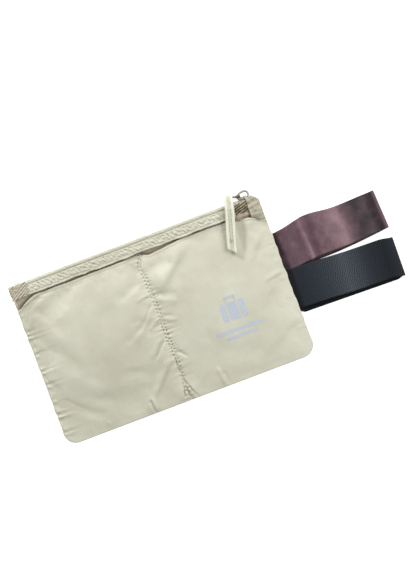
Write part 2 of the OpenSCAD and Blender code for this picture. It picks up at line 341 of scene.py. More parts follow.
class Nodes:
    """Short names for adding and linking shader nodes."""

    def __init__(self, name):
        self.material = bpy.data.materials.new(name)
        self.material.use_nodes = True
        self.tree = self.material.node_tree
        self.shader = self.tree.nodes["Principled BSDF"]

    def link(self, source, target):
        self.tree.links.new(source, target)

    def add(self, kind, feeds, **values):
        """A new node. feeds says what each socket takes in, and values are its constants and settings."""
        node = self.tree.nodes.new(kind)
        for socket, source in feeds.items():
            self.link(source, node.inputs[socket])
        for key, value in values.items():
            if key in node.inputs:
                node.inputs[key].default_value = value
            else:
                setattr(node, key, value)
        return node

    def turned(self, vector, angle=0.0, scale=(1, 1, 1)):
        node = self.add("ShaderNodeMapping", {"Vector": vector}, Rotation=(0, 0, angle), Scale=scale)
        return node.outputs["Vector"]

    def on_object(self):
        """Millimetres in the object's own space."""
        return self.turned(self.add("ShaderNodeTexCoord", {}).outputs["Object"], 0.0, (1 / MM,) * 3)

    def on_cloth(self):
        """Millimetres on the cloth, from its UV map."""
        return self.turned(self.add("ShaderNodeUVMap", {}, uv_map="cloth").outputs["UV"], 0.0, (UV_UNIT,) * 3)

    def axis(self, vector, name):
        return self.add("ShaderNodeSeparateXYZ", {"Vector": vector}).outputs[name]

    def noise(self, vector, scale, detail=3.0, roughness=0.5):
        feeds = {"Vector": vector}
        node = self.add("ShaderNodeTexNoise", feeds, Scale=scale, Detail=detail, Roughness=roughness)
        return node.outputs["Fac"]

    def bands(self, vector, pitch, direction="X", distortion=0.0):
        """Smooth stripes, a pitch apart in millimetres."""
        node = self.add(
            "ShaderNodeTexWave", {"Vector": vector}, Scale=TURN / 20 / pitch, Distortion=distortion,
            wave_type="BANDS", bands_direction=direction,
        )
        return node.outputs["Fac"]

    def math(self, operation, a, b):
        node = self.add("ShaderNodeMath", {}, operation=operation)
        for socket, value in zip(node.inputs, (a, b)):
            if isinstance(value, (int, float)):
                socket.default_value = value
            else:
                self.link(value, socket)
        return node.outputs["Value"]

    def blend(self, a, share, b, other_share):
        """The sum of two values, each with its own share."""
        return self.math("ADD", self.math("MULTIPLY", a, share), self.math("MULTIPLY", b, other_share))

    def varied(self, value, pattern, gain):
        """A value that goes up and down with a pattern."""
        return self.math("ADD", value, self.math("MULTIPLY", self.math("SUBTRACT", pattern, 0.5), gain))

    def ramp(self, value, stops):
        node = self.add("ShaderNodeValToRGB", {"Fac": value})
        while len(node.color_ramp.elements) < len(stops):
            node.color_ramp.elements.new(0.5)
        for element, (place, colour) in zip(node.color_ramp.elements, stops):
            element.position = place
            element.color = (*colour, 1)
        return node.outputs["Color"]

    def roughness(self, pattern, low, high):
        return self.ramp(pattern, [(0.3, (low,) * 3), (0.7, (high,) * 3)])

    def along(self, place, stops):
        """A value that changes along a webbing strip: pairs of a length in millimetres and a value."""
        share = self.math("DIVIDE", self.axis(place, "Y"), WEBBING_LENGTH)
        return self.ramp(share, [(length / WEBBING_LENGTH, (value,) * 3) for length, value in stops])

    def bump(self, height, distance, strength=1.0, normal=None):
        feeds = {"Height": height, "Normal": normal} if normal else {"Height": height}
        return self.add("ShaderNodeBump", feeds, Strength=strength, Distance=distance * MM).outputs["Normal"]

    def finish(self, colour=None, roughness=None, normal=None, **constants):
        for socket, source in (("Base Color", colour), ("Roughness", roughness), ("Normal", normal)):
            if source:
                self.link(source, self.shader.inputs[socket])
        for key, value in constants.items():
            self.shader.inputs[key.replace("_", " ")].default_value = value
        return self.material


def srgb(*levels):
    """A colour in linear light, from its red, green and blue display levels of 0 to 255."""
    return tuple(((c / 255 + 0.055) / 1.055) ** 2.4 if c > 10 else c / 255 / 12.92 for c in levels)


def darker(colour, share):
    return tuple(c * (1 - share) for c in colour)


def paler(colour, share):
    return tuple(c + (1 - c) * share for c in colour)


def plain_weave(name, light, dark, sheen=0.25, specular=0.42):
    """Thin coated nylon: fine over-and-under threads, slight crumple and a soft sheen."""
    n = Nodes(name)
    place = n.on_object()
    thread_pitch = 1 / 2.6
    weave = n.math(
        "MULTIPLY", n.bands(place, thread_pitch, "X", 0.2), n.bands(place, thread_pitch, "Y", 0.2),
    )
    grain = n.noise(place, 1.1, 2.0, 0.6)
    shade = n.blend(n.noise(place, 0.03, 4.0, 0.55), 0.75, grain, 0.25)
    shade = n.math("SUBTRACT", shade, n.math("MULTIPLY", weave, 0.08))
    crumple = n.bump(n.noise(n.turned(place, 0.5, (1, 0.55, 1)), 0.16, 3.0, 0.55), 0.35, 0.5)
    return n.finish(
        n.ramp(shade, [(0.32, dark), (0.68, light)]), n.roughness(grain, 0.42, 0.58),
        n.bump(weave, 0.05, 0.55, crumple), Sheen_Weight=sheen, Sheen_Roughness=0.4,
        Specular_IOR_Level=specular,
    )


def strip_with_painted_edge_light(name, middle, edge):
    """The puller's binding: a dull, dimpled middle between two rolled edges that are painted paler, a painted
    highlight on each roll.
    """
    n = Nodes(name)
    place = n.on_cloth()
    out = n.math("DIVIDE", n.math("ABSOLUTE", n.axis(place, "X"), 0), PULLER_HALF)
    dimples = n.noise(n.turned(place, 0.6, (1, 0.6, 1)), 1.1, 2.0, 0.5)
    colour = n.ramp(n.varied(out, dimples, 0.9), [(0.35, middle), (0.75, edge)])
    return n.finish(colour, None, n.bump(dimples, 0.25, 0.8), Roughness=0.6, Specular_IOR_Level=0.35)


def woven_tape(name, light, dark, rib_mm=0.9, slants=(38, -38), shade_ends_y=None):
    """Zip tape and binding: raised slanting ribs. If a y is given last, the tape takes its pale tone past it,
    where a painted shade on it ends.
    """
    n = Nodes(name)
    place = n.on_object()
    rows = [n.bands(n.turned(place, math.radians(slant)), rib_mm, "X", 0.6) for slant in slants]
    relief = n.blend(n.math("MAXIMUM", rows[0], rows[-1]), 0.55, n.noise(place, 1.3, 3.0), 0.45)
    shade = relief
    if shade_ends_y:
        shade = n.math("ADD", relief, n.math("GREATER_THAN", n.axis(place, "Y"), shade_ends_y))
    return n.finish(
        n.ramp(shade, [(0.3, dark), (0.68, light)]), None, n.bump(relief, 0.2, 1.0), Roughness=0.82,
        Sheen_Weight=0.12, Specular_IOR_Level=0.2,
    )


def satin(name, tones, painted_light):
    """Satin webbing: long floats across its width. Its last argument gives how pale it is painted along its
    length: painted shadow at the root, painted highlights and painted sheen along it.
    """
    n = Nodes(name)
    place = n.on_cloth()
    picks = n.bands(place, 1 / 1.9, "Y", 0.5)
    floats = n.noise(n.turned(place, 0, (0.35, 3.2, 1)), 1.0, 3.0, 0.6)
    value = n.varied(n.varied(n.along(place, painted_light), floats, 0.5), n.noise(place, 0.12, 3.0), 0.5)
    return n.finish(
        n.ramp(value, tones), n.roughness(floats, 0.42, 0.56),
        n.bump(n.blend(picks, 0.5, floats, 0.5), 0.06, 0.7), Sheen_Weight=0.06, Sheen_Roughness=0.35,
        Specular_IOR_Level=0.28, Anisotropic=0.5,
    )


def herringbone(name, tones, painted_light):
    """Elastic webbing: matte twill in narrow lanes. Its last argument gives how pale it is painted along its
    length: painted shadow at the root and painted sheen in the middle.
    """
    n = Nodes(name)
    place = n.on_cloth()
    left, right = (n.bands(n.turned(place, math.radians(slant)), 1.5, "Y", 0.15) for slant in (32, -32))
    lanes = n.math("GREATER_THAN", n.bands(place, 5.2, "X"), 0.5)
    twill = n.blend(left, lanes, right, n.math("SUBTRACT", 1, lanes))
    relief = n.blend(twill, 0.5, n.noise(place, 0.9, 3.0), 0.5)
    return n.finish(
        n.ramp(n.varied(n.along(place, painted_light), relief, 0.5), tones), None, n.bump(relief, 0.18, 1.0),
        Roughness=0.72, Sheen_Weight=0.06, Sheen_Roughness=0.5, Specular_IOR_Level=0.16,
    )


def thread(name, colour):
    """Twisted sewing thread."""
    n = Nodes(name)
    twist = n.bands(n.turned(n.on_object(), math.radians(40)), 0.3, "X")
    shade = n.ramp(twist, [(0.2, darker(colour, 0.3)), (0.8, colour)])
    return n.finish(shade, None, n.bump(twist, 0.05, 0.6), Roughness=0.6, Sheen_Weight=0.2)


def worn_metal(name, colour):
    """Cast zip metal: gunmetal plating with fine scratches, paler where it is rubbed."""
    n = Nodes(name)
    place = n.on_object()
    scratches = n.noise(n.turned(place, 0.2, (0.4, 6, 1)), 1.6, 4.0, 0.7)
    shade = n.ramp(n.noise(place, 0.7, 4.0, 0.6), [(0.35, darker(colour, 0.35)), (0.65, paler(colour, 0.12))])
    return n.finish(shade, n.roughness(scratches, 0.34, 0.56), n.bump(scratches, 0.02, 0.4), Metallic=0.9)


def moulded_nylon(name, colour):
    """The coil's monofilament: slightly clear, soft gloss."""
    n = Nodes(name)
    cloud = n.noise(n.on_object(), 0.9, 3.0)
    shade = n.ramp(cloud, [(0.3, darker(colour, 0.15)), (0.7, colour)])
    return n.finish(shade, None, n.bump(cloud, 0.03, 0.3), Roughness=0.36, Specular_IOR_Level=0.5)


def screen_print(name, colour):
    """Flat ink over the weave, with the cloth's grain showing through."""
    n = Nodes(name)
    place = n.on_object()
    pitch = TURN / 20 / 0.8
    weave = n.math("MULTIPLY", n.bands(place, pitch, "X"), n.bands(place, pitch, "Y"))
    shade = n.ramp(n.noise(place, 1.4, 3.0, 0.6), [(0.3, darker(colour, 0.08)), (0.7, paler(colour, 0.08))])
    return n.finish(shade, None, n.bump(weave, 0.04, 0.5), Roughness=0.5, Specular_IOR_Level=0.35)


POUCH = plain_weave("pouch_cloth", srgb(216, 215, 197), srgb(199, 197, 176))
# A darker copy of the pouch cloth: painted shade on the crumpled cloth over the zip's closed end
SHADED_FOLD_CLOTH = plain_weave("corner_cloth_shaded", srgb(194, 190, 170), srgb(172, 166, 144), sheen=0.15)
# The front panel's cloth: a darker, warmer copy of the pouch cloth, partly its own inner tone and partly
# painted shade
SHADED_LINING = plain_weave("lining_cloth_shaded", srgb(198, 188, 166), srgb(178, 167, 145), sheen=0.1, specular=0.25)
# The puller strip's second colour is a painted highlight on its rolled edges
STRIP = strip_with_painted_edge_light("puller_cloth", srgb(196, 195, 175), srgb(230, 230, 214))
TAPE = woven_tape("zip_tape_cloth", srgb(222, 220, 204), srgb(150, 147, 126))
# The front tape: the zip tape darkened as painted shade where it lies under the slider and the band, with its
# pale tone past y 58.2 mm
SHADED_TAPE = woven_tape("zip_tape_shaded_cloth", srgb(172, 162, 138), srgb(56, 46, 32), 1.7, (74,), 58.2)
TAB_TAPE = woven_tape("zip_end_tab_cloth", srgb(208, 203, 186), srgb(160, 151, 130), 1.6, (58,))
BINDING = woven_tape("binding_cloth", srgb(190, 186, 168), srgb(150, 146, 128))

# Tones from dark to pale, and how pale each webbing is painted at a length along it in millimetres: painted
# shadow at the root, painted highlights and sheen along it, painted shade towards the fold
SATIN_TONES = [(0.0, srgb(30, 18, 24)), (0.5, srgb(98, 74, 82)), (1.0, srgb(158, 130, 136))]
# Painted shadow at the satin's root, a painted highlight at its crease, painted sheen along its middle and
# painted shade towards the fold
SATIN_PAINTED_LIGHT = [
    (0, 0.0), (3.5, 0.02), (6.5, 0.44), (14, 0.52), (20, 0.42), (23.5, 0.74), (25.5, 0.36), (33, 0.56),
    (44, 0.72), (50, 0.84), (57, 0.36), (64, 0.04), (71, 0.14), (78, 0.04), (81, 0.56), (84, 0.22),
    (110, 0.26), (165, 0.10),
]
SATIN = satin("satin_webbing_cloth", SATIN_TONES, SATIN_PAINTED_LIGHT)
ELASTIC_TONES = [(0.0, srgb(8, 10, 14)), (0.5, srgb(44, 50, 58)), (1.0, srgb(100, 107, 114))]
# Painted shadow at the elastic's root, painted sheen along its middle and painted shade towards the fold
ELASTIC_PAINTED_LIGHT = [
    (0, 0.0), (3.5, 0.02), (6.5, 0.30), (20, 0.40), (32, 0.52), (42, 0.64), (52, 0.52), (62, 0.28),
    (72, 0.14), (81, 0.30), (86, 0.08), (165, 0.05),
]
ELASTIC = herringbone("elastic_webbing_cloth", ELASTIC_TONES, ELASTIC_PAINTED_LIGHT)

THREAD = thread("pale_thread", srgb(222, 220, 202))
DARK_THREAD = thread("olive_thread", srgb(86, 76, 54))
PULLER_THREAD = thread("grey_thread", srgb(120, 118, 100))
SATIN_THREAD = thread("mauve_thread", srgb(120, 92, 100))
ELASTIC_THREAD = thread("black_thread", srgb(40, 42, 48))
METAL = worn_metal("gunmetal", srgb(182, 178, 164))
# A darker copy of the gunmetal: painted shade on the bridge's thick left root, and the pull ring's dark metal
DARK_METAL = worn_metal("dark_gunmetal", srgb(132, 122, 106))
COIL = moulded_nylon("coil_nylon", srgb(196, 192, 172))
INK = screen_print("print_ink", srgb(196, 203, 214))


# ---- Shape of the pouch ----


def corner_floor(x):
    """Lowest y of a panel at each x: the bottom edge with its two rounded corners."""
    over = np.clip(np.abs(x) - (HALF_W - CORNER_R), 0, CORNER_R)
    return -HALF_H + CORNER_R - np.sqrt(np.maximum(CORNER_R**2 - over**2, 0))


def mouth_line(x):
    """The pocket's mouth: tucked under the zip band, sagging beside the seam, falling at both sides."""
    left = 7.4 * np.clip((-80.0 - x) / 15, 0, 1) ** 1.1
    right = 2.8 * smooth((x - 67.5) / 8) + 4.8 * smooth((x - 82) / 13)
    sag = 2.6 * smooth((x + 0.5) / 9) * smooth((33 - x) / 26)
    return MOUTH_Y - 0.55 + 0.3 * smooth((x + 30) / 60) + 0.25 * noise(x, 0, 8, 52) - left - right - sag


def seam_x(y):
    """The centre seam wanders a little as it comes down, with one kink under the mouth."""
    return -0.6 + 0.35 * np.sin(y / 6.0) - 1.9 * bell(y - 40.5, 4.5) + 1.5 * smooth((y - 43) / 6)


def edge_distance(x, y):
    """Distance in from the outline's sides, and from its bottom."""
    return HALF_W - np.abs(x), y - corner_floor(x)


def slope_up(distance, reach):
    """An even rise from 0 at an edge to 1 at the distance given, with soft ends."""
    t = np.clip(distance / reach, 0.0, 1.0)
    return 0.35 * smooth(t) + 0.65 * (1 - (1 - t) ** 1.5)


def front_height(x, y):
    """Height of the front panel over the table. It dips under the pocket's mouth, which stands open."""
    side, bottom = edge_distance(x, y)
    above_mouth = y - mouth_line(x)
    swell = slope_up(side, 14) * slope_up(bottom, 60)
    dip = (0.9 + 1.6 * swell) * bell(above_mouth - 0.35, 0.95, 4) * smooth(side / 1.2)
    upper_share = 0.8 + 0.2 * smooth((y - 38) / 10)
    z = 1.0 + (FRONT_TOP - 1.3) * upper_share * swell + 0.12 * noise(x, y, 9, 11) * swell
    z = z - 1.6 * bell(x - seam_x(y), 6.0, 1.5) * smooth((bottom - 2) / 20)
    wrinkles = smooth((x - 70) / 4) * smooth((y - 45) / 3) * smooth(side / 6)
    z = z + 0.5 * np.sin(0.9 * (x - 70) - 0.35 * y) * wrinkles
    beside_tab = smooth((above_mouth - 1.0) / 2.2) * smooth((-76 - x) / 5) * smooth(side / 2.5)
    z = z + (FRONT_TOP - 0.2 - z) * beside_tab
    return np.maximum(z - dip, 0.95)


# Ridges and valleys of the pocket: start, end, width, height, and how much longer the right-hand slope is
FOLDS = [
    ((34, 46), (5, 21), 5.4, 1.7, 0.2),
    ((22, 37), (2, 36), 4.0, -1.0, 0.2),
    ((2, 19), (17, 14), 2.6, -0.5, 0.0),
    ((2, 15), (15, 9), 2.2, 0.4, 0.2),
    ((50, 49), (42, 14), 6.0, -0.45, 0.2),
    ((-4, 31), (-25, 23), 3.2, -0.65, 0.2),
    ((-3, 41), (-13, 26), 3.6, -0.6, 0.3),
    ((-2, 21), (-13, 18), 1.5, 0.45, 0.2),
    ((-4, 13), (-11, 4), 1.0, -0.55, 0.0),
    ((-10, 5), (-18, -2), 1.7, -0.5, 0.2),
    ((-16, 0), (-29, -7), 2.6, -0.45, 0.2),
    ((-7, 9), (-22, -8), 3.6, 0.5, 0.3),
    ((-2, 2), (-11, -4), 1.4, 0.4, 0.2),
    ((-3, -13), (-14, -25), 1.1, -0.6, 0.2),
    ((-6, -12), (-17, -23), 1.8, 0.4, 0.2),
    ((-4, -27), (-25, -50), 2.8, 0.9, 0.2),
    ((-10, -30), (-30, -52), 2.6, -0.4, 0.0),
    ((1, -23), (8, -31), 1.1, -0.5, 0.0),
    ((1, 3), (8, 1), 1.1, -0.35, 0.0),
    ((2, -1), (11, -3), 1.4, 0.35, 0.0),
    ((-1.3, -27), (-0.8, -47), 0.5, -1.0, 0.0),
    ((-1, -45), (4.6, -60.5), 0.55, -1.9, 0.0),
    ((-1, -47), (-0.2, -60.5), 0.5, -1.6, 0.0),
    ((-1.5, -46), (-4.2, -58), 0.5, -1.2, 0.0),
    ((-0.5, -45), (2.2, -60), 0.9, 0.7, 0.0),
    ((-24, 48), (-30, 18), 7.0, 0.45, 0.0),
    ((-58, 46), (-70, 18), 7.0, -0.35, 0.2),
    ((75, 50), (71, 20), 3.2, -0.9, -0.2),
    ((79, 47), (83, 24), 4.0, 0.5, 0.0),
    ((-90, 43.5), (-75, 49.5), 1.3, 0.75, 0.0),
    ((-88, 40), (-70, 8), 4.5, 0.45, 0.2),
    ((-90, 24), (-66, -12), 4.0, -0.4, 0.0),
    ((-86, -4), (-56, -34), 5.5, 0.4, 0.2),
    ((-88, -30), (-60, -52), 4.0, -0.35, 0.0),
    ((90, 36), (66, 10), 4.0, 0.25, 0.2),
    ((92, 3), (78, 0), 1.6, 0.35, 0.2),
    ((92, -30), (62, -46), 5.0, 0.3, 0.2),
    ((-28.5, -51), (-28, -61), 0.7, -1.5, 0.0),
    ((-26.8, -50), (-26.2, -60.5), 0.9, 0.6, 0.0),
    ((25, -46), (26.5, -60), 1.4, 0.8, 0.3),
    ((28, -50), (29, -60), 1.2, -0.5, 0.0),
    ((-62, -54), (-61, -60), 1.2, 0.3, 0.0),
]


def puckers(along, across, wavelength, reach, height, seed):
    """Small gathers beside a line of stitches: they run square to it and fade away from it."""
    turns = along / wavelength + 0.55 * noise(along, across * 0.1, 9, seed)
    strength = 0.65 + 0.5 * noise(along, across * 0.05, 14, seed + 1)
    return height * strength * wave(turns) * fade(np.abs(across), reach)


def pocket_base(x, y):
    """Height of the pocket's outer face before it is settled: its crown, the seam's valley and its folds."""
    side, bottom = edge_distance(x, y)
    side_rise = slope_up(side, 34)
    rise = side_rise * slope_up(bottom, 70)
    tucked = smooth((y - MOUTH_Y + 26) / 27)
    edge = 1.7 + 0.4 * smooth((x - 60) / 30)
    crown = edge + (POCKET_TOP - 2.2 - edge) * rise - 1.9 * tucked * rise
    crown = crown + smooth((y - MOUTH_Y + 14) / 14) * (1 - side_rise) * 3.4 * smooth(side / 14)
    valley = 1.5 * smooth((bottom - 2) / 20) * (1 - 0.3 * tucked)
    z = crown - valley * bell(x - seam_x(y), 5.0, 1.3)
    inner = smooth(side / 12) * smooth(bottom / 6)
    for crease in FOLDS:
        z = z + 1.3 * fold(x, y, *crease) * (0.55 + 0.45 * inner)
    puffed = 1.5 * bell(x, 8) + 0.9 * bell(x + 28, 4)
    z = z + puffed * bell(bottom - 7, 8) * smooth(bottom / 2.5)
    return z + 0.25 * noise(x, y, 16, 3) * inner


def pocket_detail(x, y):
    """Fine gathers along the pocket's seams, hem and centre stitches, and the stitch line of its hem."""
    side, bottom = edge_distance(x, y)
    across = x - seam_x(y)
    z = 0.05 * noise(x, y, 5, 5) * smooth(side / 12) * smooth(bottom / 9)
    gather = puckers(y, across, 2.6, 1.7, 0.62, 21) * np.where(across > 0, 1.0, -0.9)
    z = z + (gather + puckers(y, across, 6.1, 4.2, 0.40, 23)) * smooth(np.abs(across) / 0.9)
    for offset, phase in ((-1.0, 0.0), (0.9, 1.1)):
        holes = np.maximum(wave((y + phase) / 2.7), 0) ** 3
        z = z - 1.5 * holes * bell(across - offset, 0.5) * smooth((bottom - 2) / 6)
    left_side = 0.75 * smooth((-60 - x) / 20)
    gathers = puckers(y, side, 6.0, 5.5, 0.14 + left_side, 31) + 0.6 * left_side * fade(side, 5.5)
    z = z + gathers * smooth(side / 1.5) + puckers(x, bottom, 5.0, 2.2, 0.14, 41) * smooth(bottom / 1.5)
    hem = mouth_line(x) - y
    z = z + puckers(x, hem - 2.5, 4.2, 2.2, 0.08, 51) - 0.16 * bell(hem - HEM_STITCH, 0.5)
    return z + 0.30 * bell(hem - 0.9, 0.8) - 0.55 * fade(np.maximum(hem, 0), 0.25)


def panel_columns(step, seam_step):
    """x of each column of a panel's grid, closer together round the corners and at the centre seam."""
    inner = HALF_W - CORNER_R
    seam = 5.0
    even = np.arange(seam, inner + 0.5 * step, (inner - seam) / round((inner - seam) / step))
    fine = np.linspace(-seam, seam, 2 * round(seam / seam_step) + 1)[1:-1]
    corner = inner + CORNER_R * np.sin(np.radians(np.arange(6, 91, 6)))
    half = np.concatenate([even, corner])
    return np.concatenate([-half[::-1], fine, half])


def panel_grid(top_line, step, seam_step):
    """x and y of every point of a panel's grid, row by row from its bottom edge to its top line."""
    xs = panel_columns(step, seam_step)
    count = int((HALF_H + MOUTH_Y) / (0.5 * (step + seam_step))) + 1
    v = np.linspace(0, 1, count)[:, None]
    y = corner_floor(xs) + (top_line(xs) - corner_floor(xs)) * v
    return np.broadcast_to(xs, y.shape), y


def settle(x, y, z, pinned, cap):
    """Lets a grid of cloth with a little spare fabric settle under Blender's cloth solver.
    The solver works ten times larger than life. Returns how far each point has moved, in millimetres."""
    enlarge = 10
    piece = cloth_object("settling", x * enlarge, y * enlarge, z * enlarge)
    group = piece.vertex_groups.new(name="sewn")
    group.add([int(i) for i in np.flatnonzero(pinned.ravel())], 1.0, "REPLACE")
    modifier = piece.modifiers.new("settle", "CLOTH")
    cloth = modifier.settings
    cloth.vertex_group_mass = group.name
    cloth.quality = 6
    cloth.mass = 0.12
    cloth.tension_stiffness = cloth.compression_stiffness = 14
    cloth.shear_stiffness = 6
    cloth.bending_stiffness = 0.25
    cloth.air_damping = 2
    cloth.shrink_min = -0.022
    cloth.effector_weights.gravity = 0
    cloth.use_pressure = True
    cloth.uniform_pressure_force = 0.25
    modifier.point_cache.frame_start = 1
    modifier.point_cache.frame_end = SETTLE_FRAMES
    for number in range(1, SETTLE_FRAMES + 1):
        bpy.context.scene.frame_set(number)
    evaluated = piece.evaluated_get(bpy.context.evaluated_depsgraph_get())
    end = np.array([tuple(v.co) for v in evaluated.data.vertices]) / MM / enlarge
    bpy.context.scene.frame_set(1)
    bpy.data.objects.remove(piece)
    moved = end - np.stack([x, y, z], axis=-1).reshape(-1, 3)
    length = np.linalg.norm(moved, axis=1)[:, None]
    return (moved * np.minimum(1, cap / np.maximum(length, 1e-6))).reshape(*x.shape, 3)


def resampled(field, old_x, new_x, rows):
    """A grid of values read at more rows, and at other column places."""
    r = np.linspace(0, field.shape[0] - 1, rows)
    r0 = np.minimum(r.astype(int), field.shape[0] - 2)
    fr = (r - r0)[:, None, None]
    c0 = np.clip(np.searchsorted(old_x, new_x) - 1, 0, len(old_x) - 2)
    fc = ((new_x - old_x[c0]) / (old_x[c0 + 1] - old_x[c0]))[None, :, None]
    low = field[r0][:, c0] * (1 - fc) + field[r0][:, c0 + 1] * fc
    high = field[r0 + 1][:, c0] * (1 - fc) + field[r0 + 1][:, c0 + 1] * fc
    return low * (1 - fr) + high * fr


def make_pocket():
    """The pocket: settled by simulation on a coarse grid, then given its fine gathers."""
    x, y = panel_grid(mouth_line, 0.8, 0.36)
    z = pocket_base(x, y)
    coarse_x, coarse_y = panel_grid(mouth_line, 2.2, 2.2)
    side, bottom = edge_distance(coarse_x, coarse_y)
    sewn = (side < 2.5) | (bottom < 2.5) | (np.abs(coarse_x - seam_x(coarse_y)) < 1.6)
    sewn[-2:] = True
    moved = settle(coarse_x, coarse_y, pocket_base(coarse_x, coarse_y), sewn, 1.4)
    moved = resampled(moved, coarse_x[0], x[0], x.shape[0])
    loose = (0.35 + 0.45 * smooth((10 - x) / 60)) * (0.25 + 0.75 * smooth((y + HALF_H - 8) / 50))
    x, y, z = (start + change * loose for start, change in zip((x, y, z), np.moveaxis(moved, -1, 0)))
    z = np.maximum(z + pocket_detail(x, y), front_height(x, y) + 0.5)
    side = HALF_W - np.abs(x)
    wobble = 0.4 * noise(y, 0, 5, 61) * fade(np.maximum(side, 0), 3) * np.sign(x)
    x = np.clip(x + wobble, -HALF_W - 0.4, HALF_W + 0.4)
    return cloth_object("pocket_panel_cloth", x, y, z, POUCH)


def back_height(x, y):
    """The back lies on the table and lifts a little where it turns up at its seams."""
    side, bottom = edge_distance(x, y)
    return 0.34 + 0.9 * fade(side, 2.0) + 0.9 * fade(bottom, 2.0) + 0.05 * (1 + noise(x, y, 12, 71))


def make_panel(name, height, top_y, material, step):
    """A plain panel of cloth with a straight top edge."""
    x, y = panel_grid(lambda xs: 0 * xs + top_y, step, step)
    return cloth_object(name, x, y, height(x, y), material)


def finish_cloth(
    piece, node, area=None, thickness=FABRIC_T, offset=-1.0, body="pouch",
):
    thicken(piece, thickness, offset)
    belongs(piece, node, body)
    area = area * MM * MM if area else None


def make_panels():
    """The three cloth panels. The pocket is returned, because stitches and print lie on it."""
    pocket = make_pocket()
    front = make_panel("front_panel_cloth", front_height, MOUTH_Y + 2.5, SHADED_LINING, 0.8)
    back = make_panel("back_panel_cloth", back_height, MOUTH_Y + 6, POUCH, 2.0)
    finish_cloth(pocket, "pocket_panel")
    finish_cloth(front, "front_panel")
    finish_cloth(back, "back_panel")
    return pocket


# ---- Stitches that lie on a surface ----


class Surface:
    """Heights of finished pieces, read by a ray from above."""

    def __init__(self, *pieces):
        graph = bpy.context.evaluated_depsgraph_get()
        self.trees = [BVHTree.FromObject(piece, graph) for piece in pieces]

    def z(self, x, y):
        hits = [tree.ray_cast(Vector((x * MM, y * MM, 0.1)), Vector((0, 0, -1)))[0] for tree in self.trees]
        return max([hit.z / MM for hit in hits if hit], default=0.0)


class Flat:
    """A level surface, for stitches inside a seam."""

    def __init__(self, level):
        self.level = level

    def z(self, x, y):
        return self.level


def stitch(surface, start, end, radius, lift):
    """One stitch: a short bowed thread whose two ends dive into the cloth."""
    path = []
    for t in np.linspace(0, 1, 6):
        x, y = np.array(start) * (1 - t) + np.array(end) * t
        bow = 1 - (2 * t - 1) ** 4
        path.append((x, y, surface.z(x, y) + lift * bow - radius * (1 - bow) * 1.6))
    return tube(path, radius, 6)


def stitch_row(surface, line, pitch, share=0.62, radius=0.17, lift=0.1, sway=0.0, seed=1):
    """A row of stitches along a line of (x, y) points, a pitch apart."""
    line = np.asarray(line, float)
    distance = np.concatenate([[0], np.cumsum(np.hypot(*np.diff(line, axis=0).T))])
    random = np.random.RandomState(seed)
    parts = []
    for i in range(int(distance[-1] / pitch)):
        middle = (i + 0.5) * pitch + random.uniform(-0.08, 0.08) * pitch
        ends = []
        for s in (middle - share * pitch / 2, middle + share * pitch / 2):
            ends.append([np.interp(s, distance, values) + random.uniform(-sway, sway) for values in line.T])
        parts.append(stitch(surface, *ends, radius, lift))
    return parts


def finish_thread(name, parts, material, node, body="pouch"):
    """Joins rows of stitches into the piece that stands for a CAD node."""
    belongs(new_object(name, *join(parts), material), node, body)


def make_pouch_stitching(pocket):
    """Hem, centre, side and bottom stitches."""
    top = Surface(pocket)
    hem = []
    for low, high in ((-80, -5), (10, 76)):
        xs = np.linspace(low, high, 60)
        hem += stitch_row(top, np.stack([xs, mouth_line(xs) - HEM_STITCH], 1), 2.6, 0.6, 0.15, 0.06)
    finish_thread("hem_thread", hem, THREAD, "hem_stitching")
    ys = np.linspace(-HALF_H + 3, MOUTH_Y - 3, 90)
    middle = []
    for offset, seed in ((-0.7, 3), (0.75, 4)):
        middle += stitch_row(top, np.stack([seam_x(ys) + offset, ys], 1), 3.1, 0.6, 0.16, 0.08, 0.15, seed)
    finish_thread("divider_thread", middle, THREAD, "divider_stitching")
    side_x, edge_y, end_x = HALF_W - 2.2, -HALF_H + 2.2, HALF_W - CORNER_R
    low, high = -HALF_H + CORNER_R, MOUTH_Y - 9
    for seam, ends in (
        ("left", [(-side_x, low), (-side_x, high)]), ("right", [(side_x, low), (side_x, high)]),
        ("bottom", [(-end_x, edge_y), (end_x, edge_y)]),
    ):
        row = stitch_row(Flat(1.1), ends, 3.2)
        finish_thread(f"{seam}_seam_thread", row, THREAD, f"{seam}_seam_stitching")


# ---- Zip band ----


def band(name, xs, section, material, shift):
    """A strip along X. section gives (y, z) points round the strip, and shift(x, y, z) moves them."""
    grid = np.broadcast_to(np.asarray(section, float)[:, None, :], (len(section), len(xs), 2))
    x = np.broadcast_to(xs, grid.shape[:2])
    return cloth_object(name, *shift(x, grid[..., 0], grid[..., 1]), material)


def facing_section():
    """From under the lip, over the lip, across the field and its crease to the outer roll."""
    low, top, roll = BAND_LOW_Y, BAND_TOP, CHAIN_TOP_Y
    return rounded([
        (low + 3.4, top - 1.0), (low + 1.2, top - 1.0), (low + 0.15, top - 0.65), (low + 0.2, top + 0.2),
        (low + 0.8, top + 0.7), (low + 1.5, top - 0.5), (low + 2.3, top + 0.0), (low + 3.6, top + 0.2),
        (low + 5.2, top + 0.25), (low + 6.4, top + 0.1), (low + 7.15, top - 0.1), (low + 7.55, top - 0.65),
        (low + 8.0, top - 0.1), (roll - 2.0, top + 0.25), (roll - 1.0, top + 0.15), (roll - 0.35, top - 0.4),
        (roll - 0.75, top - 0.9), (low + 7.8, top - 0.95),
    ], 3)


